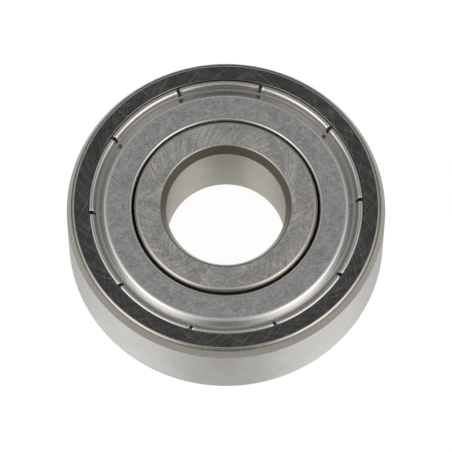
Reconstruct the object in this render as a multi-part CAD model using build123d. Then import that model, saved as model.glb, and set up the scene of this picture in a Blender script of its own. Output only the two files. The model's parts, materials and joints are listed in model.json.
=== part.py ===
"""Deep-groove ball bearing with a metal shield on each side, in millimetres.

The origin is the middle of the bearing, +Z runs along its axis, and every piece is a node of its own:
two rings, two shields, a riveted ribbon cage in two halves, the balls and the rivets.
"""

from build123d import *
import math
import os

# ---- boundary sizes, standard for a 12 mm bore of dimension series 02 ----
bore_diameter = 12.0
outer_diameter = 32.0
width = 10.0

# ---- plain corners of both rings, longer along the axis than across the face ----
outer_corner_across = 0.5
bore_corner_across = 0.55
corner_along = 1.05
outer_corner_round = 0.45
bore_corner_round = 0.25
edge_break = 0.12
rounding_share = 0.9

# ---- rolling set ----
ball_diameter = 5.953
ball_count = 7
race_conformity = 0.52
race_clearance = 0.015

# ---- ring shoulders, measured from the ball circle ----
inner_shoulder_drop = 1.8
outer_shoulder_rise = 1.75
inner_land_round = 0.33

# ---- shield: one pressed sheet with a turned-in rim, a flat plate, a valley and a rolled bead ----
shield_sheet = 0.25
shield_gap = 0.21
plate_recess = 0.35
rim_height = 0.4
rim_bend = 0.05
plate_bend = 0.35
flank_across = 0.62
foot_bend = 0.25
valley_inset = 0.05
valley_across = 0.25
valley_bend = 0.05
bead_recess = 0.1
bead_angle = 75.0
bead_bend = 0.11
bead_flat = 0.01
slot_count = 10
slot_width = 0.3
first_slot_angle = 3.0

# ---- groove behind each face of the outer ring, which holds the shield's bead ----
seat_depth = 1.0
bead_end_clearance = 0.02
land_overlap = 0.19
land_depth = 0.2
land_chamfer = 0.05
undercut_depth = 0.5
undercut_round = 0.08

# ---- ribbon cage and its rivets ----
cage_sheet = 0.45
cage_band = 2.4
cage_bend = 0.2
pocket_clearance = 0.09
rivet_margin = 0.28
rivet_head_height = 0.35
rivet_shank_share = 0.58
rivet_hole_clearance = 0.02

# ---- sizes that follow from the ones above ----
face = width / 2
bore_radius = bore_diameter / 2
outer_radius = outer_diameter / 2
ball_radius = ball_diameter / 2
pitch_radius = (bore_radius + outer_radius) / 2
groove_radius = race_conformity * ball_diameter
inner_shoulder = pitch_radius - inner_shoulder_drop
outer_shoulder = pitch_radius + outer_shoulder_rise

seat_height = face - seat_depth
plate_height = face - plate_recess
valley_height = seat_height + shield_sheet
bead_height = face - bead_recess
bead_slope = math.radians(bead_angle)
bead_round = shield_sheet + bead_bend
rim_radius = inner_shoulder + shield_gap
valley_start = outer_shoulder + valley_inset
bead_start = valley_start + valley_across
crest_start = bead_start + (bead_height - valley_height) / math.tan(bead_slope)
crest_end = crest_start + bead_flat + 2 * bead_round * math.tan(bead_slope / 2)
bead_end_height = seat_height + bead_end_clearance + shield_sheet * math.cos(bead_slope)
bead_end = crest_end + (bead_height - bead_end_height) / math.tan(bead_slope)
undercut_radius = bead_end + bead_end_clearance
land_radius = bead_end - land_overlap
face_inner_radius = land_radius + land_chamfer
face_outer_radius = outer_radius - outer_corner_across
face_room = face_outer_radius - face_inner_radius
corner_turn = math.atan(corner_along / outer_corner_across)

pocket_radius = ball_radius + pocket_clearance
crown_radius = pocket_radius + cage_sheet
bend_height = cage_sheet + cage_bend
bend_place = math.sqrt((crown_radius + cage_bend) ** 2 - bend_height**2)
ball_spacing = 2 * pitch_radius * math.sin(math.pi / ball_count)
rivet_head_radius = ball_spacing / 2 - bend_place - rivet_margin
rivet_shank_radius = rivet_shank_share * rivet_head_radius


def turned(outline):
    """The solid swept about Z by an outline drawn with radius across and height upwards."""
    return revolve(Plane.XZ * make_face(outline), Axis.Z)


def cornered(corners):
    """A closed outline from corners given as (radius, height, rounding of that corner)."""
    points = [(radius, height) for radius, height, _ in corners]
    roundings = [rounding for _, _, rounding in corners]
    return FilletPolyline(*points, radius=roundings, close=True).edges()


def both_faces(upper):
    """The corners of a profile's upper half, followed by their mirror image below the middle plane."""
    lower = [(radius, -height, rounding) for radius, height, rounding in reversed(upper)]
    return upper + lower


def around(count, first_angle=0.0):
    """Evenly spaced angles of a pattern about the axis, in degrees."""
    return [first_angle + step * 360 / count for step in range(count)]


def rounding_within(radius, room):
    """A plain corner's rounding, made smaller where the face beside it has less room than it takes."""
    return min(radius, rounding_share * room / math.tan(corner_turn / 2))


def on_ball_circle(angle):
    """The place on the ball circle at this angle."""
    return Rot(Z=angle) * Pos(X=pitch_radius)


def outer_ring():
    """Outer ring: ground outside, plain corners, a groove behind each face for a shield, and the raceway."""
    upper = [
        (outer_shoulder, seat_height, 0),
        (undercut_radius, seat_height, undercut_round),
        (undercut_radius, face - undercut_depth, undercut_round),
        (land_radius, face - land_depth, 0),
        (land_radius, face - land_chamfer, 0),
        (face_inner_radius, face, 0),
        (face_outer_radius, face, rounding_within(outer_corner_round, face_room)),
        (outer_radius, face - corner_along, edge_break),
    ]
    groove_centre = pitch_radius + ball_radius + race_clearance - groove_radius
    return turned(cornered(both_faces(upper))) - Torus(groove_centre, groove_radius)


def inner_ring():
    """Inner ring: ground bore with plain corners, ground faces, and the raceway between two shoulders."""
    upper = [
        (bore_radius, face - corner_along, edge_break),
        (bore_radius + bore_corner_across, face, bore_corner_round),
        (inner_shoulder, face, inner_land_round),
    ]
    groove_centre = pitch_radius - ball_radius - race_clearance + groove_radius
    return turned(cornered(both_faces(upper))) - Torus(groove_centre, groove_radius)


def pressed_sheet(corners, sheet):
    """The outline of a bent sheet, from its upper side's corners as (radius, height, inside of that bend)."""
    points = [Vector(radius, height) for radius, height, _ in corners]
    bends = [bend for _, _, bend in corners[1:-1]]
    runs = [(end - start).normalized() for start, end in zip(points, points[1:])]
    downs = [Vector(run.Y, -run.X) for run in runs]
    under = [points[0] + downs[0] * sheet]
    for point, before, after in zip(points[1:], downs, downs[1:]):
        under.append(point + (before + after) * (sheet / (1 + before.dot(after))))
    under.append(points[-1] + downs[-1] * sheet)
    folds_down = [before.cross(after).Z < 0 for before, after in zip(runs, runs[1:])]
    upper_rounds = [bend + sheet if down else bend for bend, down in zip(bends, folds_down)]
    under_rounds = [bend if down else bend + sheet for bend, down in zip(bends, folds_down)]
    corner_points = points + under[::-1]
    rounds = [0] + upper_rounds + [0, 0] + under_rounds[::-1] + [0]
    return cornered([(point.X, point.Y, round_) for point, round_ in zip(corner_points, rounds)])


def shield_upper():
    """Shield: a bent sheet with a turned-in rim, a flat plate, a valley on the seat and a slotted bead."""
    upper_side = [
        (rim_radius, plate_height - rim_height, 0),
        (rim_radius, plate_height, rim_bend),
        (valley_start - flank_across, plate_height, plate_bend),
        (valley_start, valley_height, foot_bend),
        (bead_start, valley_height, valley_bend),
        (crest_start, bead_height, bead_bend),
        (crest_end, bead_height, bead_bend),
        (bead_end, bead_end_height, 0),
    ]
    sheet = turned(pressed_sheet(upper_side, shield_sheet))
    outwards = (Align.MIN, Align.CENTER, Align.CENTER)
    slot = Pos(bead_start, 0, face) * Box(undercut_radius, slot_width, width, align=outwards)
    return sheet - [Rot(Z=angle) * slot for angle in around(slot_count, first_slot_angle)]


def band(height):
    """The ring of space that the cage runs in, from the middle plane up to this height."""
    upwards = (Align.CENTER, Align.CENTER, Align.MIN)
    outside = Cylinder(pitch_radius + cage_band / 2, height, align=upwards)
    inside = Cylinder(pitch_radius - cage_band / 2, height, align=upwards)
    return outside - inside


def dome(radius, floor):
    """A ball-shaped dome that runs into a flat floor through the bend that the sheet takes there."""
    bend = bend_height - floor
    share = radius / (radius + bend)
    centre = (0, floor)
    foot = (bend_place, floor)
    touch = (bend_place * share, bend_height * share)
    top = (0, radius)
    outline = [
        Line(centre, foot),
        RadiusArc(foot, touch, bend),
        RadiusArc(touch, top, -radius),
        Line(top, centre),
    ]
    return turned(outline)


def cage_half_upper():
    """Cage half: a flat ribbon with a domed pocket over each ball and a rivet hole between pockets."""
    ball_places = [on_ball_circle(angle) for angle in around(ball_count)]
    crown = dome(crown_radius, cage_sheet)
    pocket = dome(pocket_radius, 0)
    hole = Cylinder(rivet_shank_radius + rivet_hole_clearance, width)
    half = band(cage_sheet) + [band(crown_radius) & place * crown for place in ball_places]
    half -= [place * pocket for place in ball_places]
    return half - [on_ball_circle(angle) * hole for angle in rivet_angles()]


def rivet_angles():
    """Each rivet is midway between two balls."""
    return around(ball_count, 180 / ball_count)


def rivet():
    """Rivet: a shank through both cage halves, and a domed head outside each of them."""
    head_round = (rivet_head_radius**2 + rivet_head_height**2) / (2 * rivet_head_height)
    middle = (0, 0)
    top = (0, cage_sheet + rivet_head_height)
    brim = (rivet_head_radius, cage_sheet)
    neck = (rivet_shank_radius, cage_sheet)
    waist = (rivet_shank_radius, 0)
    outline = [
        Line(middle, top),
        RadiusArc(top, brim, head_round),
        Line(brim, neck),
        Line(neck, waist),
        Line(waist, middle),
    ]
    half = turned(outline)
    return half + mirror(half, about=Plane.XY)


def write(name, piece):
    """Each piece goes to a file that has its node's name."""
    export_step(piece, f"parts/{name}.step")


if __name__ == "__main__":
    os.makedirs("parts", exist_ok=True)
    shield = shield_upper()
    cage_half = cage_half_upper()
    write("outer_ring", outer_ring())
    write("inner_ring", inner_ring())
    write("shield_upper", shield)
    write("shield_lower", mirror(shield, about=Plane.XY))
    write("cage_half_upper", cage_half)
    write("cage_half_lower", mirror(cage_half, about=Plane.XY))
    for number, angle in enumerate(around(ball_count), start=1):
        write(f"ball_{number}", on_ball_circle(angle) * Sphere(ball_radius))
    for number, angle in enumerate(rivet_angles(), start=1):
        write(f"rivet_{number}", on_ball_circle(angle) * rivet())
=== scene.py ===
# %% [markdown]
# # A shielded ball bearing in Blender
#
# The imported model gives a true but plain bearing: two rings, two pressed shields, a riveted cage
# and seven balls, each of them a node that already moves on the right body. This lesson dresses
# it. The rings and the shields are turned again as fine meshes with every bend and edge break,
# and each surface gets the finish that its own making leaves on it.

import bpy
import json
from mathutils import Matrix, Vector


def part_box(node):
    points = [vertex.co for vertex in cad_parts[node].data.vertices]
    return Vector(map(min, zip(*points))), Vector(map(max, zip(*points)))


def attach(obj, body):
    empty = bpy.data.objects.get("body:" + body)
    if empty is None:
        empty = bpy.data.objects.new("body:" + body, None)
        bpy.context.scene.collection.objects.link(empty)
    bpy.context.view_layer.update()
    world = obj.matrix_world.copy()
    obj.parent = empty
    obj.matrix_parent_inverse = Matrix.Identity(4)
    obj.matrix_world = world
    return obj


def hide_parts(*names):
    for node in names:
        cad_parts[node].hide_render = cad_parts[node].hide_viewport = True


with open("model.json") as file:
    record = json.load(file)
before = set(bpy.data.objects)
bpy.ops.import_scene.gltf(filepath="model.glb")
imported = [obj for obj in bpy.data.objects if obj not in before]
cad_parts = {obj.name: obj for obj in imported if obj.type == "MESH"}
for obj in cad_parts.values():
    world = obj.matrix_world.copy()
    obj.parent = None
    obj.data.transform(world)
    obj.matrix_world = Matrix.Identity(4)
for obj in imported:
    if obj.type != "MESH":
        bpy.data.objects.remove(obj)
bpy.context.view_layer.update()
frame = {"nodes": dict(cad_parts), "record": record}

# %% [markdown]
# ## Sizes
#
# Blender works in metres, and a bearing is specified in millimetres, so one constant turns one
# into the other. The sizes that fits depend on are read from the model and are never typed in
# again: the outside, the bore, the faces, the balls and the shields' reach. Small details that
# nothing mates with, such as the bend of a sheet, are given below beside the piece that they
# belong to. Names in capitals are typed in, and names in small letters are worked out or read.

# %% Read the sizes that the model fixes
import json
import math
from types import SimpleNamespace

import bmesh
import bpy
from mathutils import Vector

MM = 0.001
mounts = {mount["name"]: mount for mount in frame["record"]["mounts"]}
outer_radius = mounts["housing_seat"]["dims"]["r_mm"]
bore_radius = mounts["shaft_bore"]["dims"]["r_mm"]
face_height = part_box("outer_ring")[1].z / MM
inner_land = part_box("inner_ring")[1].x / MM
ball_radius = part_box("ball_1")[1].z / MM
ball_circle = (outer_radius + bore_radius) / 2
shield_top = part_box("shield_upper")[1].z / MM
shield_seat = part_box("shield_upper")[0].z / MM
print("radii of outside and bore:", outer_radius, bore_radius)
print("inner ring's land:", round(inner_land, 3), "faces at height", round(face_height, 3))
print("ball radius", round(ball_radius, 4), "on a circle of", ball_circle)
print("shield between heights", round(shield_seat, 3), "and", round(shield_top, 3))

# %% [markdown]
# ## Turned outlines
#
# A lathe-turned piece is one outline swept round an axis, so drawing the outline well is most of
# the work. Blender has a Screw modifier and a Spin tool for the sweep. Here it is done in code
# instead, since every corner then gets its own rounding, and a short holding segment beside each
# rounding keeps the smooth shading of the bend from leaking into the flat next to it.

# %% Draw an outline with rounded corners
HOLD = 0.012
ARC_STEP = math.radians(9)


def rounded(corners):
    """Points (radius, height) of an outline, from corners given as (radius, height, rounding)."""
    points = []
    for place, (radius, height, rounding) in enumerate(corners):
        here = Vector((radius, height))
        back = (Vector(corners[place - 1][:2]) - here).normalized()
        on = (Vector(corners[(place + 1) % len(corners)][:2]) - here).normalized()
        half_opening = back.angle(on) / 2
        reach = rounding / math.tan(half_opening)
        centre = here + (back + on).normalized() * rounding / math.sin(half_opening)
        spoke = here + back * reach - centre
        sweep = math.pi - 2 * half_opening
        if back.x * on.y - back.y * on.x > 0:
            sweep = -sweep
        steps = max(2, math.ceil(abs(sweep) / ARC_STEP))
        points.append(here + back * (reach + HOLD))
        for step in range(steps + 1):
            turn = sweep * step / steps
            across = spoke.x * math.cos(turn) - spoke.y * math.sin(turn)
            along = spoke.x * math.sin(turn) + spoke.y * math.cos(turn)
            points.append(centre + Vector((across, along)))
        points.append(here + on * (reach + HOLD))
    return points


sample = rounded([(0, 0, 0.5), (4, 0, 0.5), (4, 4, 0.5), (0, 4, 0.5)])
print("a square with rounded corners takes", len(sample), "points, the first at", sample[0])

# %% [markdown]
# ## Sweeping an outline
#
# The sweep places a copy of the outline at each of 360 even steps and joins neighbours with
# four-sided faces. All the points of a ring lie on true circles and the mesh is closed. One mesh
# can carry several finishes, as the one piece of steel does: further down, each face gets the
# finish of the place where it lies.

# %% Sweep an outline into a ring
ROUND_STEPS = 360
SHARP_ANGLE = math.radians(35)


def mesh_piece(name, points, faces):
    """A mesh object from points in millimetres, shaded smooth except across its sharp corners."""
    mesh = bpy.data.meshes.new(name)
    mesh.from_pydata([tuple(value * MM for value in point) for point in points], [], faces)
    shell = bmesh.new()
    shell.from_mesh(mesh)
    bmesh.ops.recalc_face_normals(shell, faces=shell.faces)
    shell.to_mesh(mesh)
    shell.free()
    mesh.shade_smooth()
    mesh.set_sharp_from_angle(angle=SHARP_ANGLE)
    piece = bpy.data.objects.new(name, mesh)
    bpy.context.scene.collection.objects.link(piece)
    return piece


def swept(name, outline):
    """A closed ring from a closed outline of (radius, height) points."""
    points, faces = [], []
    size = len(outline)
    for step in range(ROUND_STEPS):
        angle = 2 * math.pi * step / ROUND_STEPS
        here, there = step * size, (step + 1) % ROUND_STEPS * size
        for spot, point in enumerate(outline):
            after = (spot + 1) % size
            points.append((point.x * math.cos(angle), point.x * math.sin(angle), point.y))
            faces.append((here + spot, there + spot, there + after, here + after))
    return mesh_piece(name, points, faces)


short_of_circle = outer_radius * (1 - math.cos(math.pi / ROUND_STEPS))
print("the flats between steps fall short of the circle by", round(short_of_circle, 5), "mm")

# %% [markdown]
# ## Ball tracks
#
# Each ring has a track that is an arc a little larger than the ball, so that the ball rolls on a
# narrow strip and doesn't rub. Cutting a torus out of the ring with a Boolean modifier would
# work, but the arc is simply part of the outline here, which keeps the mesh even.

# %% Draw a track
TRACK_CONFORMITY = 0.52
TRACK_CLEARANCE = 0.015
TRACK_STEPS = 24

track_radius = TRACK_CONFORMITY * 2 * ball_radius


def track(shoulder, side):
    """Points along a track, from its lower shoulder up; side is 1 outside the balls, else -1."""
    middle = ball_circle + side * (ball_radius + TRACK_CLEARANCE - track_radius)
    opening = math.acos(abs(shoulder - middle) / track_radius)
    turns = [opening * (2 * step / TRACK_STEPS - 1) for step in range(TRACK_STEPS + 1)]
    return [
        Vector((middle + side * track_radius * math.cos(turn), track_radius * math.sin(turn)))
        for turn in turns
    ]


print("track radius", round(track_radius, 4), "for a ball radius of", round(ball_radius, 4))

# %% [markdown]
# ## Outer ring
#
# The outer ring is turned from bearing steel, hardened, then ground. It has a long plain corner
# at each face, so that it slides into a housing, and behind each face a groove that the shield's
# bead is rolled into. Only the upper half of the outline is drawn, and it is mirrored for the
# lower one, because both faces of the ring are alike.

# %% Turn the outer ring
OUTER_CORNER_ACROSS = 0.5
OUTER_FACE_ROUND = 0.45
CORNER_ALONG = 1.05
EDGE_BREAK = 0.12
OUTER_SHOULDER = 12.75
SHOULDER_EDGE = 0.03
UNDERCUT = 14.025
UNDERCUT_DEPTH = 0.5
UNDERCUT_ROUND = 0.08
LAND = 13.815
LAND_DEPTH = 0.2
LAND_EDGE = 0.02
LAND_CHAMFER = 0.05
CHAMFER_EDGE = 0.01


def both_halves(upper):
    """The corners of the upper half of an outline, then their mirror image below the middle."""
    return upper + [(radius, -height, rounding) for radius, height, rounding in reversed(upper)]


outer_half = [
    (OUTER_SHOULDER, shield_seat, SHOULDER_EDGE),
    (UNDERCUT, shield_seat, UNDERCUT_ROUND),
    (UNDERCUT, face_height - UNDERCUT_DEPTH, UNDERCUT_ROUND),
    (LAND, face_height - LAND_DEPTH, LAND_EDGE),
    (LAND, face_height - LAND_CHAMFER, CHAMFER_EDGE),
    (LAND + LAND_CHAMFER, face_height, CHAMFER_EDGE),
    (outer_radius - OUTER_CORNER_ACROSS, face_height, OUTER_FACE_ROUND),
    (outer_radius, face_height - CORNER_ALONG, EDGE_BREAK),
]
outer_outline = rounded(both_halves(outer_half)) + track(OUTER_SHOULDER, 1)
outer_ring = swept("outer_ring_finished", outer_outline)
print("outer ring:", len(outer_outline), "outline points,", len(outer_ring.data.polygons), "faces")

# %% [markdown]
# ## Inner ring
#
# The inner ring is the outer one turned inside out: a ground bore with plain corners, ground
# faces, and the track between two shoulders that the shields stop just short of. It could be
# modelled from a tube with bevels, but the corners are longer along the axis than across the
# face, which an outline gives directly.

# %% Turn the inner ring
BORE_CORNER_ACROSS = 0.55
BORE_ROUND = 0.25
LAND_ROUND = 0.33

inner_half = [
    (inner_land, face_height, LAND_ROUND),
    (bore_radius + BORE_CORNER_ACROSS, face_height, BORE_ROUND),
    (bore_radius, face_height - CORNER_ALONG, EDGE_BREAK),
]
inner_outline = rounded(both_halves(inner_half)) + track(inner_land, -1)
inner_ring = swept("inner_ring_finished", inner_outline)
print("inner ring:", len(inner_outline), "outline points,", len(inner_ring.data.polygons), "faces")

# %% [markdown]
# ## Shield: the bent sheet
#
# A shield is one disc of thin steel sheet: a rim turned in beside the inner ring, a flat plate, a
# valley that lands on the outer ring, and a bead that is rolled into the groove. A Solidify
# modifier could thicken a surface into sheet. Here each bend is drawn on the upper side and the
# lower side follows a sheet's thickness below it, because then a bend is round on both sides with
# the right two radii, as bent metal is.

# %% Give the corners of the sheet's upper side
SHEET = 0.25
RUNNING_GAP = 0.21
RIM_HEIGHT = 0.4
RIM_BEND = 0.05
PLATE_RECESS = 0.35
PLATE_BEND = 0.35
FLANK_ACROSS = 0.62
FOOT_BEND = 0.25
VALLEY_INSET = 0.05
VALLEY_ACROSS = 0.25
VALLEY_BEND = 0.05
BEAD_SLOPE = math.radians(75)
BEAD_BEND = 0.11
BEAD_FLAT = 0.01
BEAD_CLEARANCE = 0.02

rim_radius = inner_land + RUNNING_GAP
plate_height = face_height - PLATE_RECESS
valley_height = shield_seat + SHEET
valley_start = OUTER_SHOULDER + VALLEY_INSET
bead_start = valley_start + VALLEY_ACROSS
crest_start = bead_start + (shield_top - valley_height) / math.tan(BEAD_SLOPE)
crest_end = crest_start + BEAD_FLAT + 2 * (SHEET + BEAD_BEND) * math.tan(BEAD_SLOPE / 2)
bead_foot = shield_seat + BEAD_CLEARANCE + SHEET * math.cos(BEAD_SLOPE)
bead_end = crest_end + (shield_top - bead_foot) / math.tan(BEAD_SLOPE)
upper_side = [
    (rim_radius, plate_height - RIM_HEIGHT, 0),
    (rim_radius, plate_height, RIM_BEND),
    (valley_start - FLANK_ACROSS, plate_height, PLATE_BEND),
    (valley_start, valley_height, FOOT_BEND),
    (bead_start, valley_height, VALLEY_BEND),
    (crest_start, shield_top, BEAD_BEND),
    (crest_end, shield_top, BEAD_BEND),
    (bead_end, bead_foot, 0),
]
print("the sheet runs from radius", round(rim_radius, 3), "to", round(bead_end, 3))

# %% Follow the sheet through its bends
BEND_STEP = math.radians(8)


def stations(corners):
    """Pairs of a point on the sheet's upper side and the direction out of it, along its length."""
    places = [Vector(corner[:2]) for corner in corners]
    runs = [(after - before).normalized() for before, after in zip(places, places[1:])]
    outs = [Vector((-run.y, run.x)) for run in runs]
    found = [(places[0], outs[0])]
    for number in range(1, len(places) - 1):
        before, after = runs[number - 1], runs[number]
        turn = before.x * after.y - before.y * after.x
        angle = math.copysign(before.angle(after), turn)
        upper_bend = corners[number][2] + (SHEET if turn < 0 else 0)
        reach = upper_bend * math.tan(abs(angle) / 2)
        out = outs[number - 1]
        to_centre = math.copysign(upper_bend, turn)
        start = places[number] - before * reach
        centre = start + out * to_centre
        steps = math.ceil(abs(angle) / BEND_STEP)
        found.append((start - before * HOLD, out))
        for step in range(steps + 1):
            part = angle * step / steps
            here = Vector((
                out.x * math.cos(part) - out.y * math.sin(part),
                out.x * math.sin(part) + out.y * math.cos(part),
            ))
            found.append((centre - here * to_centre, here))
        found.append((places[number] + after * (reach + HOLD), outs[number]))
    found.append((places[-1], outs[-1]))
    return found


sheet_stations = stations(upper_side)
print("the sheet has", len(sheet_stations), "stations along its length")

# %% [markdown]
# ## Shield: ten tabs round the bead
#
# Rolling a bead outwards stretches it, so the press tool first cuts the sheet's edge into ten
# tabs. The cuts are straight and narrow. A Boolean modifier could cut them out of a swept ring,
# but it leaves thin triangles that spoil the shine beside each cut. Building the tabs one by one
# keeps every face four-sided, and lets the two ends of each tab be rounded over as a real tab is.

# %% Divide the sheet into tabs and gaps
SLOT_COUNT = 10
SLOT_WIDTH = 0.3
FIRST_SLOT = math.radians(3)
TAB_STEPS = 36
GAP_STEPS = 4
END_ROUND = 0.09
END_STEPS = 3


def columns():
    """Every column of the sheet: its slot, distance from it, share of the tab, drop and kind."""
    made = []
    half = SLOT_WIDTH / 2
    ends = [
        END_ROUND * (1 - math.cos(math.pi / 2 * step / END_STEPS)) for step in range(END_STEPS + 1)
    ]
    drops = [
        END_ROUND - math.sqrt(max(0.0, END_ROUND**2 - (END_ROUND - inset) ** 2)) for inset in ends
    ]
    shares = [step / TAB_STEPS for step in range(1, TAB_STEPS)]
    gaps = [2 * step / GAP_STEPS - 1 for step in range(1, GAP_STEPS)]
    for slot in range(SLOT_COUNT):
        made += [(slot, half + inset, 0, drop, True) for inset, drop in zip(ends, drops)]
        made += [(slot, half + END_ROUND, share, 0, True) for share in shares]
        closing = zip(ends[::-1], drops[::-1])
        made += [(slot + 1, -half - inset, 0, drop, True) for inset, drop in closing]
        made += [(slot + 1, half * gap, 0, 0, False) for gap in gaps]
    return made


def column_angle(slot, offset, share, radius):
    """The angle of a column at this radius; share runs from the start of a tab to its end."""
    pitch = 2 * math.pi / SLOT_COUNT
    beside = math.asin(offset / radius)
    return FIRST_SLOT + slot * pitch + beside + share * (pitch - 2 * beside)


print("the sheet is divided into", len(columns()), "columns")

# %% Build a shield tab by tab
slot_station = next(
    number for number, (point, _) in enumerate(sheet_stations) if point.x >= bead_start)


def shield(name, side):
    """A slotted shield; side is 1 for the upper one and -1 for the lower one."""
    every = columns()
    points, spots, faces = [], {}, []
    for number, (slot, offset, share, drop, in_tab) in enumerate(every):
        length = len(sheet_stations) if in_tab else slot_station + 1
        for station, (point, out) in enumerate(sheet_stations[:length]):
            fall = drop if station > slot_station else 0
            for skin, depth in (("top", fall), ("under", SHEET)):
                place = point - out * depth
                angle = column_angle(slot, offset, share, place.x)
                spots[number, station, skin] = len(points)
                points.append((
                    place.x * math.cos(angle), place.x * math.sin(angle), side * place.y))
    last = len(sheet_stations) - 1
    around_edge = ((0, "top"), (1, "top"), (1, "under"), (0, "under"))
    for number, column in enumerate(every):
        after = (number + 1) % len(every)
        pair = (number, after)
        reach = last if column[4] and every[after][4] else slot_station
        for skin in ("top", "under"):
            for station in range(reach):
                on = station + 1
                corners = ((number, station), (after, station), (after, on), (number, on))
                faces.append([spots[corner + (skin,)] for corner in corners])
        for station in (0, reach):
            faces.append([spots[pair[which], station, skin] for which, skin in around_edge])
        if column[4] and not (every[after][4] and every[number - 1][4]):
            for station in range(slot_station, last):
                faces.append([spots[number, station + up, skin] for up, skin in around_edge])
    return mesh_piece(name, points, faces)


shield_upper = shield("shield_upper_finished", 1)
shield_lower = shield("shield_lower_finished", -1)
print("each shield has", len(shield_upper.data.polygons), "faces")

# %% [markdown]
# ## Checking the meshes and fitting them
#
# A solid piece has no open edges, and its volume shows at once whether a wall is missing or
# inside out. The four new pieces then take the places of the plain nodes and ride on the same
# bodies, so that they turn with them.

# %% Measure the new pieces
open_edges = 0
for piece in (outer_ring, inner_ring, shield_upper, shield_lower):
    shell = bmesh.new()
    shell.from_mesh(piece.data)
    open_edges += sum(not edge.is_manifold for edge in shell.edges)
    print(piece.name, "volume", round(shell.calc_volume() / MM**3, 2), "mm3")
    shell.free()
print("open edges in all four pieces:", open_edges)

# %% Show the pieces in place of the plain nodes
for piece, body, cad_node, slot_name in (
    (outer_ring, "outer", "outer_ring", "ring_steel"),
    (inner_ring, "inner", "inner_ring", "ring_steel"),
    (shield_upper, "outer", "shield_upper", "shield_steel"),
    (shield_lower, "outer", "shield_lower", "shield_steel"),
):
    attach(piece, body)
    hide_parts(cad_node)
    print(piece.name, "stands in for", cad_node, "on the body", body)

# %% [markdown]
# ## A kit for steel finishes
#
# Every surface here is bare steel, and what tells one from another is how it was cut: which way
# the tool marks run, how deep they are and how dull they leave the surface. The helpers below
# build those marks from noise that is stretched along the cut. They work in polar terms, with the
# radius and the direction from the axis, so that marks follow the turning and there is no seam
# where the angle wraps round.

# %% Helpers that add nodes
NOISE_LOW, NOISE_HIGH = 0.3, 0.7


def add(tree, kind, inputs=None, **settings):
    """A new node with its settings, and its inputs given as values or as other nodes' outputs."""
    made = tree.nodes.new(kind)
    for name, value in settings.items():
        setattr(made, name, value)
    for socket, value in (inputs or {}).items():
        if isinstance(value, bpy.types.NodeSocket):
            tree.links.new(value, made.inputs[socket])
        else:
            made.inputs[socket].default_value = value
    return made


def sums(tree, operation, first, second=0.0, third=0.0):
    """The result of a sum on numbers."""
    inputs = {0: first, 1: second, 2: third}
    return add(tree, "ShaderNodeMath", inputs, operation=operation).outputs[0]


def vectors(tree, operation, first, second=(0, 0, 0)):
    """The vector that an operation on vectors gives."""
    inputs = {0: first, 1: second}
    return add(tree, "ShaderNodeVectorMath", inputs, operation=operation).outputs["Vector"]


def weighed(tree, first, first_weight, second, second_weight):
    """Two numbers added up, each times its weight."""
    rest = sums(tree, "MULTIPLY", second, second_weight)
    return sums(tree, "MULTIPLY_ADD", first, first_weight, rest)


def between(tree, value, low, high, at_low, at_high):
    """Carries a number from one range over to another and holds it at the ends."""
    inputs = {
        "Value": value, "From Min": low, "From Max": high, "To Min": at_low, "To Max": at_high}
    return add(tree, "ShaderNodeMapRange", inputs).outputs["Result"]


def over_noise(tree, value, at_low, at_high):
    """Carries a number over from the range that noise mostly keeps to."""
    return between(tree, value, NOISE_LOW, NOISE_HIGH, at_low, at_high)


def shades(tree, value, *stops):
    """A colour for a number from 0 to 1, from stops given as (number, colour)."""
    made = add(tree, "ShaderNodeValToRGB", {"Fac": value})
    bar = made.color_ramp.elements
    bar[0].position, bar[0].color = stops[0][0], (*stops[0][1], 1)
    bar[1].position, bar[1].color = stops[-1][0], (*stops[-1][1], 1)
    for position, colour in stops[1:-1]:
        bar.new(position).color = (*colour, 1)
    return made.outputs["Color"]


def mix_numbers(tree, share, first, second):
    """The first number where the share is 0 and the second where it is 1."""
    inputs = {0: share, 2: first, 3: second}
    return add(tree, "ShaderNodeMix", inputs, data_type="FLOAT").outputs[0]


def mix_colours(tree, share, first, second):
    """The first colour where the share is 0 and the second where it is 1."""
    inputs = {0: share, 6: first, 7: second}
    return add(tree, "ShaderNodeMix", inputs, data_type="RGBA").outputs[2]


print("noise is taken to run from", NOISE_LOW, "to", NOISE_HIGH)

# %% Helpers that lay tool marks
SCRATCH_FOOT, SCRATCH_TOP = 0.78, 0.82


def whereabouts(tree):
    """Where a point lies: its place in millimetres, radius, height and direction from the axis."""
    at = add(tree, "ShaderNodeTexCoord").outputs["Object"]
    place = vectors(tree, "MULTIPLY", at, (1 / MM, 1 / MM, 1 / MM))
    flat = vectors(tree, "MULTIPLY", place, (1, 1, 0))
    return SimpleNamespace(
        place=place,
        radius=add(tree, "ShaderNodeVectorMath", {0: flat}, operation="LENGTH").outputs["Value"],
        height=add(tree, "ShaderNodeSeparateXYZ", {0: place}).outputs["Z"],
        direction=vectors(tree, "NORMALIZE", flat),
    )


def noise(tree, at, scale, detail=3.0, roughness=0.6):
    """Cloudy noise about 0.5, with features one over the scale in size."""
    inputs = {"Vector": at, "Scale": scale, "Detail": detail, "Roughness": roughness}
    return add(tree, "ShaderNodeTexNoise", inputs).outputs["Fac"]


def turned_about_axis(tree, vector, angle):
    """A vector turned about the bearing's axis."""
    inputs = {"Vector": vector, "Axis": (0, 0, 1), "Angle": angle}
    turned = add(tree, "ShaderNodeVectorRotate", inputs, rotation_type="AXIS_ANGLE")
    return turned.outputs["Vector"]


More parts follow.
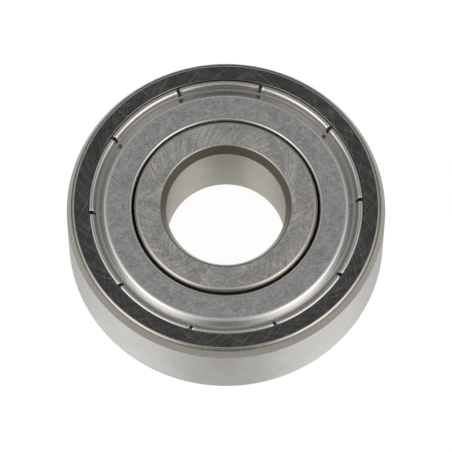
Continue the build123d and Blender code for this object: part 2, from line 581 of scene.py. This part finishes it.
def crossing_lines(tree, where, lean, spacing, length, at_radius):
    """Marks across a face from its inside outwards, leaning over by this turn a millimetre."""
    turn = sums(tree, "MULTIPLY", where.radius, lean)
    leaning = turned_about_axis(tree, where.direction, turn)
    share = at_radius / spacing
    spread = vectors(tree, "MULTIPLY", leaning, (share, share, share))
    steps = {"Z": sums(tree, "DIVIDE", where.radius, length)}
    along = add(tree, "ShaderNodeCombineXYZ", steps).outputs["Vector"]
    return noise(tree, vectors(tree, "ADD", spread, along), scale=1.0)


def round_lines(tree, where, spacing, wander):
    """Marks that run round the axis, as a turning tool or a grinding wheel leaves them."""
    steps = {
        "X": sums(tree, "DIVIDE", where.radius, spacing),
        "Y": sums(tree, "DIVIDE", where.height, spacing),
    }
    lines = add(tree, "ShaderNodeCombineXYZ", steps).outputs["Vector"]
    drift = vectors(tree, "MULTIPLY", where.direction, (wander, wander, wander))
    return noise(tree, vectors(tree, "ADD", lines, drift), scale=1.0)


def stray_scratches(tree, where, heading, spacing, length, share):
    """A few long straight scratches, 1 on a scratch and 0 off it; a larger share gives more."""
    level = turned_about_axis(tree, where.place, math.radians(heading))
    thin = vectors(tree, "MULTIPLY", level, (1 / length, 1 / spacing, 1 / length))
    raw = noise(tree, thin, scale=1.0, detail=1.0, roughness=0.4)
    return between(tree, raw, SCRATCH_FOOT - share, SCRATCH_TOP - share, 0, 1)


print("a stray scratch begins where its noise passes", SCRATCH_FOOT, "less its share")

# %% [markdown]
# ## The finishes
#
# A finish is one Principled shader with Metallic at 1. Its base colour is the steel's own, its
# roughness says how dull the cut left it, and the marks push both about a little and tilt the
# surface through a Bump node, as real marks do. Values that are the same all over are set on the
# shader's own sockets.

# %% Start and end a finish
ACROSS_THE_LINES = 0.25


def start_steel(name):
    """A bare steel material, its node tree and its shader."""
    material = bpy.data.materials.new(name)
    material.use_nodes = True
    shader = material.node_tree.nodes["Principled BSDF"]
    shader.inputs["Metallic"].default_value = 1.0
    return material, material.node_tree, shader


def drive(tree, shader, colour, roughness):
    """Joins a colour and a roughness that vary over the surface to the shader."""
    tree.links.new(colour, shader.inputs["Base Color"])
    tree.links.new(roughness, shader.inputs["Roughness"])


def brushed_round(tree, shader):
    """Spreads the shine across lines that run round the axis, as fine parallel lines do."""
    round_axis = add(tree, "ShaderNodeTangent", direction_type="RADIAL", axis="Z")
    tree.links.new(round_axis.outputs["Tangent"], shader.inputs["Tangent"])
    shader.inputs["Anisotropic"].default_value = 1.0
    shader.inputs["Anisotropic Rotation"].default_value = ACROSS_THE_LINES


def mark(tree, shader, marks, depth):
    """Lets marks tilt the surface; depth is in millimetres."""
    bump = add(tree, "ShaderNodeBump", {"Height": marks, "Distance": depth * MM, "Strength": 1.0})
    tree.links.new(bump.outputs["Normal"], shader.inputs["Normal"])


def shown(material):
    """Prints how many nodes a finish takes, and hands it on."""
    print(material.name, "takes", len(material.node_tree.nodes), "nodes")
    return material


print("brushed steel spreads its shine at", 360 * ACROSS_THE_LINES, "degrees to its lines")

# %% [markdown]
# ### The outer ring's face
#
# This face is ground very fine, nearly to a mirror, so it goes dark where the tent is dark. Its
# colour is also painted near-black, a painted dark reflection. Hair scratches cross it both ways.
# A picture of scratches would repeat and blur close up. Noise drawn out along two leaning
# directions gives hairs of every length instead, and a third one adds a few long straight
# scratches.

# %% Make the polished face
def polished_face():
    """Face ground very fine, with hair scratches that cross it both ways."""
    material, tree, shader = start_steel("face_polished_painted_dark")
    where = whereabouts(tree)
    one_way = crossing_lines(tree, where, lean=0.09, spacing=0.06, length=3.0, at_radius=14.5)
    other_way = crossing_lines(tree, where, lean=-0.12, spacing=0.07, length=2.6, at_radius=14.5)
    long_ones = stray_scratches(tree, where, heading=38, spacing=0.10, length=6.0, share=0.055)
    first = between(tree, one_way, 0.5, 0.72, 0, 1)
    second = between(tree, other_way, 0.52, 0.74, 0, 1)
    marks = sums(tree, "MAXIMUM", sums(tree, "MAXIMUM", first, second), long_ones)
    cloud = noise(tree, where.place, scale=0.9)
    # The two dark stops paint the face near-black, a painted dark reflection; the light stop is
    # the scratches.
    colour = shades(
        tree, sums(tree, "MULTIPLY_ADD", marks, 0.5, over_noise(tree, cloud, 0.44, 0.56)),
        (0.35, (0.145, 0.145, 0.15)), (0.65, (0.20, 0.196, 0.19)), (1.0, (0.50, 0.49, 0.475)),
    )
    roughness = sums(tree, "MULTIPLY_ADD", marks, 0.16, over_noise(tree, cloud, 0.11, 0.15))
    drive(tree, shader, colour, roughness)
    mark(tree, shader, marks, depth=0.0015)
    return material


face_steel = shown(polished_face())

# %% [markdown]
# ### The ground outside and the ground bore
#
# A grinding wheel leaves fine lines round the axis. Such lines spread a highlight along the axis
# far more than round it, which the shader's Anisotropic value does. So the lines themselves only
# need to be faint. Both cylinders are made by one function. The bore is a little warmer, and its
# colour is darker too, a painted shade for the dim light that it mirrors inside the ring.

# %% Make the two ground cylinders
def ground_round(name, spacing, wander, cloud_scale, dark, light, smooth, dull, depth):
    """A cylinder ground round its axis: a satin shine with faint lines round it."""
    material, tree, shader = start_steel(name)
    where = whereabouts(tree)
    lines = round_lines(tree, where, spacing, wander)
    tone = weighed(tree, lines, 0.3, noise(tree, where.place, cloud_scale), 0.7)
    colour = shades(tree, tone, (NOISE_LOW, dark), (NOISE_HIGH, light))
    drive(tree, shader, colour, over_noise(tree, lines, smooth, dull))
    brushed_round(tree, shader)
    mark(tree, shader, lines, depth)
    return material


outside_steel = shown(ground_round(
    "outside_ground", spacing=0.12, wander=3.0, cloud_scale=0.35,
    dark=(0.565, 0.56, 0.545), light=(0.645, 0.64, 0.625), smooth=0.40, dull=0.46, depth=0.0008,
))
# The bore's darker colours are a painted shade for the dim light inside the ring.
bore_steel = shown(ground_round(
    "bore_ground_painted_shade", spacing=0.15, wander=2.0, cloud_scale=0.5,
    dark=(0.46, 0.445, 0.40), light=(0.54, 0.525, 0.47), smooth=0.38, dull=0.44, depth=0.0006,
))

# %% [markdown]
# ### The plain corners
#
# The corners stay as they were turned, hardened and tumbled, so they are duller and warmer than
# the ground surfaces, and a little speckled. Near the face the tumbling has worn both corners
# brighter and the outer one smoother too. Painting that edge by hand would do, but a change with
# height is even all the way round.

# %% Make the tumbled corners
WORN_FROM = 0.11
WORN_TO = 0.02
WORN_LIGHT = 1.35
DULLNESS_SPREAD = 0.14


def turned_corner(name, dark, light, dullest, rise, smoothing):
    """A corner that was turned, not ground; rise and smoothing say how worn its upper edge is."""
    material, tree, shader = start_steel(name)
    where = whereabouts(tree)
    lines = round_lines(tree, where, spacing=0.1, wander=6.0)
    speckle = noise(tree, where.place, scale=5.0, detail=4.0)
    both = weighed(tree, speckle, 0.6, lines, 0.4)
    away = sums(tree, "ABSOLUTE", where.height)
    worn = between(tree, away, face_height - WORN_FROM, face_height - WORN_TO, 0, 1)
    brightest = tuple(WORN_LIGHT * part for part in light)
    tone = sums(tree, "MULTIPLY_ADD", worn, rise, both)
    colour = shades(tree, tone, (0.35, dark), (0.65, light), (1.0, brightest))
    smoother = sums(tree, "MULTIPLY", worn, -smoothing)
    dullness = over_noise(tree, both, dullest - DULLNESS_SPREAD, dullest)
    drive(tree, shader, colour, sums(tree, "ADD", smoother, dullness))
    mark(tree, shader, both, depth=0.004)
    return material


outer_corner = shown(turned_corner(
    "corner_tumbled_warm", dark=(0.27, 0.257, 0.228), light=(0.385, 0.367, 0.332),
    dullest=0.46, rise=0.62, smoothing=0.27,
))
bore_corner = shown(turned_corner(
    "bore_corner_dark", dark=(0.28, 0.25, 0.215), light=(0.36, 0.325, 0.285),
    dullest=0.38, rise=0.6, smoothing=0.0,
))

# %% [markdown]
# ### The inner ring's face
#
# This face is ground with a coarser wheel than the outer one. The wheel crosses it in long arcs,
# and the arcs of one direction show in some places and those of the other elsewhere. Adding both
# everywhere would look like woven cloth, so a slow noise decides which of the two a place shows.

# %% Make the inner ring's ground face
WARM_EDGE = 1.0


def ground_face():
    """Face ground with a coarser wheel, with crossing marks that come and go round the ring."""
    material, tree, shader = start_steel("face_ground_satin")
    where = whereabouts(tree)
    one_way = crossing_lines(tree, where, lean=0.10, spacing=0.055, length=4.0, at_radius=8.0)
    other_way = crossing_lines(tree, where, lean=-0.16, spacing=0.055, length=3.5, at_radius=8.0)
    slow = noise(tree, where.place, scale=0.22, detail=1.0)
    patches = between(tree, slow, 0.40, 0.60, 0, 1)
    elsewhere = sums(tree, "SUBTRACT", 1.0, patches)
    first = sums(tree, "MULTIPLY", between(tree, one_way, 0.42, 0.7, 0, 1), patches)
    second = sums(tree, "MULTIPLY", between(tree, other_way, 0.42, 0.7, 0, 1), elsewhere)
    long_ones = stray_scratches(tree, where, heading=-50, spacing=0.07, length=4.0, share=0.04)
    marks = sums(tree, "MAXIMUM", sums(tree, "MAXIMUM", first, second), long_ones)
    grain = noise(tree, where.place, scale=4.5, detail=2.0)
    tone = weighed(tree, marks, 0.5, grain, 0.6)
    cold = shades(
        tree, tone,
        (0.2, (0.31, 0.308, 0.30)), (0.42, (0.45, 0.445, 0.43)), (0.7, (0.80, 0.79, 0.765)),
    )
    warm = shades(
        tree, tone,
        (0.2, (0.35, 0.332, 0.295)), (0.42, (0.49, 0.465, 0.42)), (0.7, (0.82, 0.785, 0.715)),
    )
    warm_from, warm_to = inner_land - WARM_EDGE, inner_land - LAND_ROUND
    towards_land = between(tree, where.radius, warm_from, warm_to, 0, 1)
    roughness = sums(tree, "MULTIPLY_ADD", marks, -0.08, over_noise(tree, grain, 0.36, 0.44))
    drive(tree, shader, mix_colours(tree, towards_land, cold, warm), roughness)
    mark(tree, shader, marks, depth=0.006)
    return material


inner_face_steel = shown(ground_face())

# %% [markdown]
# ### Tracks, lands and the shield's groove
#
# Inside the bearing everything is turned or honed round the axis, and differs only in how bright
# and how smooth it is left. So one function makes them all: the turned groove, its ground lip,
# the rounding of the inner ring's land, and the tracks, dulled by their film of grease and painted
# darker, a painted shade for the dark between the shields.

# %% Make the turned and honed surfaces
def turned_inside(name, dark, light, smooth, dull):
    """A surface inside the bearing, turned or honed round the axis."""
    material, tree, shader = start_steel(name)
    lines = round_lines(tree, whereabouts(tree), spacing=0.08, wander=2.0)
    colour = shades(tree, lines, (NOISE_LOW, dark), (NOISE_HIGH, light))
    drive(tree, shader, colour, over_noise(tree, lines, smooth, dull))
    mark(tree, shader, lines, depth=0.001)
    return material


groove_steel = shown(turned_inside(
    "groove_turned", dark=(0.38, 0.36, 0.33), light=(0.50, 0.475, 0.44),
    smooth=0.34, dull=0.44,
))
# The tracks' darker colours are partly a painted shade for the dark between the shields.
track_steel = shown(turned_inside(
    "track_honed_greased_painted_shade", dark=(0.50, 0.48, 0.44), light=(0.60, 0.575, 0.53),
    smooth=0.38, dull=0.48,
))
lip_steel = shown(turned_inside(
    "groove_lip_ground", dark=(0.40, 0.385, 0.355), light=(0.50, 0.48, 0.45),
    smooth=0.18, dull=0.25,
))
land_steel = shown(turned_inside(
    "land_round_ground", dark=(0.56, 0.53, 0.475), light=(0.68, 0.645, 0.585),
    smooth=0.27, dull=0.35,
))

# %% [markdown]
# ### The shield's skin
#
# The shield is cold-rolled sheet with a thin bright plating. The press flattened the plate
# between matt dies, so it is dull and softly mottled, and its outer edge was rubbed brighter as
# it bent. The rim and the bead were drawn over a polished edge and shine, the flank is satin, and
# the crease at its foot is darker and duller. All belong to one skin, so one material goes from
# one zone to the next by the radius.

# %% Make the shield's skin
BRIGHT = ((0.62, 0.615, 0.60), (0.72, 0.715, 0.70))
BURNISHED = ((0.68, 0.685, 0.69), (0.78, 0.785, 0.79))
SATIN = ((0.46, 0.45, 0.43), (0.55, 0.54, 0.52))
DULL = ((0.42, 0.408, 0.385), (0.52, 0.505, 0.48))

# Each zone has the radius where it begins, the one where it is full, its colours and roughness.
rim_zone = (rim_radius + 0.54, rim_radius + 0.42, BRIGHT, (0.22, 0.30))
edge_zone = (valley_start - 0.90, valley_start - 0.76, BURNISHED, (0.25, 0.32))
flank_zone = (valley_start - 0.50, valley_start - 0.36, SATIN, (0.22, 0.30))
# Darker and duller from the flank's foot out to the bead.
crease_zone = (valley_start - 0.15, valley_start, DULL, (0.30, 0.38))
bead_zone = (crest_start - 0.06, crest_start + 0.04, BRIGHT, (0.22, 0.30))


def pressed_plate():
    """Plated sheet: a mottled, dull plate between the zones that the press rubbed brighter."""
    material, tree, shader = start_steel("shield_pressed_sheet")
    where = whereabouts(tree)
    mottle = noise(tree, where.place, scale=1.6, detail=4.0, roughness=0.65)
    grain = noise(tree, where.place, scale=5.5)
    fine = noise(tree, where.place, scale=12.0, detail=2.0)
    tone = weighed(tree, grain, 0.6, mottle, 0.4)
    skin = shades(tree, tone, (0.36, (0.32, 0.32, 0.32)), (0.64, (0.585, 0.585, 0.58)))
    roughness = between(tree, tone, 0.35, 0.65, 0.40, 0.50)
    for begins, full, (dark, light), (smooth, dull) in (
        rim_zone, edge_zone, flank_zone, crease_zone, bead_zone,
    ):
        share = between(tree, where.radius, begins, full, 0, 1)
        skin = mix_colours(tree, share, skin, shades(tree, fine, (0.35, dark), (0.65, light)))
        roughness = mix_numbers(tree, share, roughness, over_noise(tree, fine, smooth, dull))
    drive(tree, shader, skin, roughness)
    mark(tree, shader, tone, depth=0.004)
    return material


shield_steel = shown(pressed_plate())

# %% [markdown]
# ## Finishing the rings and the shields
#
# One ring carries up to six finishes. Which one a face of the mesh gets follows from where it
# lies on the outline: on the flat end, on the ground cylinder, on the corner between them, or
# inside. Painting the finishes on by hand would be possible too, but a rule by radius and height
# stays right when a size changes.

# %% Give each surface of the rings its finish
TINY = 0.002
ON_OUTSIDE = 0.9995
ON_BORE = 1.002
OUTER_ROUND_REACH = 0.3
BORE_ROUND_REACH = 0.2

ground_half = mounts["housing_seat"]["dims"]["length_mm"] / 2


def outer_place(radius, height):
    """0 face, 1 ground outside, 2 plain corner, 3 groove, 4 track and shoulder, 5 groove's lip."""
    if height > face_height - TINY:
        return 0
    if radius > outer_radius * ON_OUTSIDE and height < ground_half:
        return 1
    if radius > outer_radius - OUTER_CORNER_ACROSS - OUTER_ROUND_REACH:
        return 2
    if height > face_height - LAND_DEPTH:
        return 5
    return 3 if height > shield_seat - TINY else 4


def inner_place(radius, height):
    """0 face, 1 ground bore, 2 plain corner, 3 rounding of the land, 4 track and land."""
    if height > face_height - TINY:
        return 0
    if radius < bore_radius * ON_BORE and height < ground_half:
        return 1
    if radius < bore_radius + BORE_CORNER_ACROSS + BORE_ROUND_REACH:
        return 2
    return 3 if height > face_height - LAND_ROUND else 4


def finish_by_place(piece, finishes, which):
    """Puts materials on a swept piece; which(radius, height) says which of them a place takes."""
    for material in finishes:
        piece.data.materials.append(material)
    for polygon in piece.data.polygons:
        middle = polygon.center / MM
        polygon.material_index = which(math.hypot(middle.x, middle.y), abs(middle.z))
    print(piece.name, "carries", [material.name for material in finishes])


finish_by_place(
    outer_ring,
    [face_steel, outside_steel, outer_corner, groove_steel, track_steel, lip_steel],
    outer_place,
)
finish_by_place(
    inner_ring,
    [inner_face_steel, bore_steel, bore_corner, land_steel, track_steel],
    inner_place,
)

# %% Give the shields and the plain nodes their finish
def dress(piece, material):
    """Puts one finish on a whole piece."""
    piece.data.materials.clear()
    piece.data.materials.append(material)


for piece in (shield_upper, shield_lower):
    dress(piece, shield_steel)
for name, material in (
    ("outer_ring", track_steel),
    ("inner_ring", track_steel),
    ("shield_upper", shield_steel),
    ("shield_lower", shield_steel),
):
    dress(frame["nodes"][name], material)
print("both shields and the four plain nodes behind the new pieces are dressed")

# %% [markdown]
# ## The rolling set
#
# The balls, the cage and its rivets run in the dark between the shields. Their imported nodes
# already have the right shape, so they are kept and only finished: lapped balls dulled by a film
# of grease and painted darker, a painted shade for the dark they run in, a cage pressed from soft
# sheet with a fine pickled grain, and rivets that the setting tool left a little burnished.

# %% Finish the balls, the cage and the rivets
def lapped_ball():
    """A lapped ball under the film of grease that it runs in, which takes most of its shine; its
    colour is painted dark, a painted shade.
    """
    material, tree, shader = start_steel("ball_greased_painted_shade")
    where = whereabouts(tree)
    haze = noise(tree, where.place, scale=2.5, detail=4.0)
    # The dark colours are a painted shade for the dark between the shields; the grease only dulls
    # the shine.
    colour = shades(tree, haze, (0.35, (0.20, 0.19, 0.17)), (0.65, (0.30, 0.285, 0.26)))
    drive(tree, shader, colour, over_noise(tree, haze, 0.50, 0.62))
    mark(tree, shader, noise(tree, where.place, scale=14.0), depth=0.0004)
    return material


def soft_sheet(name, dark, light, smooth, dull, grain_size):
    """Soft pressed steel with a fine grain, for the cage and its rivets."""
    material, tree, shader = start_steel(name)
    place = whereabouts(tree).place
    grain = noise(tree, place, scale=1 / grain_size, detail=5.0, roughness=0.65)
    colour = shades(tree, grain, (0.35, dark), (0.65, light))
    drive(tree, shader, colour, over_noise(tree, grain, smooth, dull))
    mark(tree, shader, grain, depth=0.004)
    return material


rolling_steels = {
    "ball": shown(lapped_ball()),
    "cage": shown(soft_sheet(
        "cage_pressed_sheet", dark=(0.34, 0.327, 0.307), light=(0.46, 0.442, 0.415),
        smooth=0.40, dull=0.52, grain_size=0.25,
    )),
    "rivet": shown(soft_sheet(
        "rivet_burnished", dark=(0.32, 0.305, 0.285), light=(0.42, 0.405, 0.38),
        smooth=0.28, dull=0.40, grain_size=0.18,
    )),
}
for name, node in frame["nodes"].items():
    kind = name.split("_")[0]
    if kind in rolling_steels:
        dress(node, rolling_steels[kind])

# %% [markdown]
# ## The table
#
# The bearing lies on a pale table. A plain diffuse one would turn grey in the shade around the
# bearing, so this one gives its own light and stays bright there. Right under the bearing that
# would be wrong, because a ring lying on a table lets no light in below it. So there it is dark.

# %% Make the pale table
TABLE_HALF = 1.5
TABLE_COLOUR = (0.15, 0.15, 0.15, 1)
NEAR_GLOW, FAR_GLOW = 0.93, 0.2
GLOW_FADES_FROM, GLOW_FADES_TO = 40, 130
BORE_EDGE = (6.7, 7.0)
OUTSIDE_EDGE = (15.0, 15.4)

level = -face_height * MM
corners = [(-1, -1), (1, -1), (1, 1), (-1, 1)]
table_points = [(TABLE_HALF * across, TABLE_HALF * along, level) for across, along in corners]
table_mesh = bpy.data.meshes.new("pale_table")
table_mesh.from_pydata(table_points, [], [(0, 1, 2, 3)])
table = bpy.data.objects.new("pale_table", table_mesh)
bpy.context.scene.collection.objects.link(table)

white = bpy.data.materials.new("pale_table")
white.use_nodes = True
table_tree = white.node_tree
white_shader = table_tree.nodes["Principled BSDF"]
white_shader.inputs["Base Color"].default_value = TABLE_COLOUR
white_shader.inputs["Roughness"].default_value = 0.8
white_shader.inputs["Specular IOR Level"].default_value = 0.1
white_shader.inputs["Emission Color"].default_value = (1, 1, 1, 1)
away = whereabouts(table_tree).radius
glow = between(table_tree, away, GLOW_FADES_FROM, GLOW_FADES_TO, NEAR_GLOW, FAR_GLOW)
seen_through_bore = between(table_tree, away, *BORE_EDGE, 1, 0)
outside_bearing = between(table_tree, away, *OUTSIDE_EDGE, 0, 1)
open_to_light = sums(table_tree, "MAXIMUM", seen_through_bore, outside_bearing)
lit = sums(table_tree, "MULTIPLY", glow, open_to_light)
table_tree.links.new(lit, white_shader.inputs["Emission Strength"])
table_mesh.materials.append(white)
print("table at", round(level / MM, 3), "mm,", 2 * TABLE_HALF, "m across")

# %% [markdown]
# ## Light
#
# Polished metal shows nothing but what surrounds it, so the light is most of its look. The
# bearing lies under a tent that is dim near the table and lighter towards its top. Soft lamps in
# front and at the sides draw the bright lines along the roundings. Dark cards keep a calm band
# down the middle of every curved surface, and one high up behind the bearing is what the flat
# faces mirror. Area lamps and card objects would do the same. Here they are painted on the world,
# so that nothing stands in the way of a view from another side.

# %% Helpers that light the tent
world = bpy.data.worlds.new("light_tent")
world.use_nodes = True
bpy.context.scene.world = world
sky = world.node_tree
toward = add(sky, "ShaderNodeTexCoord").outputs["Generated"]


def patch(azimuth, elevation, inner, outer):
    """1 in a soft round patch of the tent, 0 outside it; azimuth 0 is the front, 90 the right."""
    turn, lift = math.radians(azimuth), math.radians(elevation)
    aim = (math.sin(turn) * math.cos(lift), -math.cos(turn) * math.cos(lift), math.sin(lift))
    nearness = add(sky, "ShaderNodeVectorMath", {0: toward, 1: aim}, operation="DOT_PRODUCT")
    inputs = {
        "Value": nearness.outputs["Value"],
        "From Min": math.cos(math.radians(outer)),
        "From Max": math.cos(math.radians(inner)),
    }
    soft = add(sky, "ShaderNodeMapRange", inputs, interpolation_type="SMOOTHSTEP")
    return soft.outputs["Result"]


def brighten(light, share, colour):
    """Adds a soft lamp's light over a patch."""
    return vectors(sky, "ADD", light, vectors(sky, "MULTIPLY", share, colour))


def darken(light, share, depth):
    """Takes this share of the light away over a patch, as a dark card does."""
    kept = sums(sky, "MULTIPLY_ADD", share, -depth, 1.0)
    inputs = {0: light, "Scale": kept}
    return add(sky, "ShaderNodeVectorMath", inputs, operation="SCALE").outputs["Vector"]


print("the scene's world is", bpy.context.scene.world.name)

# %% Light the tent
DIM_UP_TO, LIGHT_FROM = 12, 58
DIM_LIGHT, CEILING_LIGHT = 0.12, 0.55
LAMPS = (
    (-46, 51, 8, 33, (1.02, 0.98, 0.92)),
    (46, 51, 8, 33, (1.07, 1.03, 0.97)),
    (-86, 58, 6, 25, (0.42, 0.42, 0.41)),
    (86, 58, 6, 25, (0.47, 0.47, 0.46)),
    (-54, 16, 13, 37, (0.46, 0.45, 0.43)),
    (54, 16, 13, 37, (0.46, 0.45, 0.43)),
)
DARK_CARDS = (
    (180, 68, 6, 16, 0.66),
    (180, 0, 24, 44, 0.75),
    (0, 18, 8, 24, 0.50),
    (0, 42, 9, 26, 0.60),
    (0, 66, 8, 24, 0.70),
)

upward = add(sky, "ShaderNodeSeparateXYZ", {0: toward}).outputs["Z"]
low, high = math.sin(math.radians(DIM_UP_TO)), math.sin(math.radians(LIGHT_FROM))
ceiling = between(sky, upward, low, high, DIM_LIGHT, CEILING_LIGHT)
light = add(
    sky, "ShaderNodeCombineXYZ", {"X": ceiling, "Y": ceiling, "Z": ceiling}).outputs["Vector"]
for azimuth, elevation, inner, outer, colour in LAMPS:
    light = brighten(light, patch(azimuth, elevation, inner, outer), colour)
for azimuth, elevation, inner, outer, depth in DARK_CARDS:
    light = darken(light, patch(azimuth, elevation, inner, outer), depth)
sky.links.new(light, sky.nodes["Background"].inputs["Color"])
print("the tent has", len(LAMPS), "lamps and", len(DARK_CARDS), "dark cards")

# %% [markdown]
# ## Camera
#
# A long lens from well above and in front keeps both rings nearly round and shows the ground
# outside below the face. The camera is set from its angle, its distance and the point that it
# aims at, in millimetres.

# %% Place the camera
CAMERA_ELEVATION = math.radians(67.77)
AIM = Vector((0.002, 0.047, -0.626))
FOCAL_LENGTH = 377.2
SENSOR_WIDTH = 36
CLIP_START = 0.01
DISTANCE_IN_RADII = 30

camera_distance = DISTANCE_IN_RADII * outer_radius
lens = bpy.data.cameras.new("camera")
lens.lens = FOCAL_LENGTH
lens.sensor_width = SENSOR_WIDTH
lens.clip_start = CLIP_START
camera = bpy.data.objects.new("camera", lens)
bpy.context.scene.collection.objects.link(camera)
back = Vector((0, -math.cos(CAMERA_ELEVATION), math.sin(CAMERA_ELEVATION)))
camera.location = (AIM + back * camera_distance) * MM
camera.rotation_euler = (-back).to_track_quat("-Z", "Y").to_euler()
bpy.context.scene.camera = camera
bpy.context.scene.view_settings.view_transform = "Standard"
print("camera at", [round(value, 4) for value in camera.location], "m")
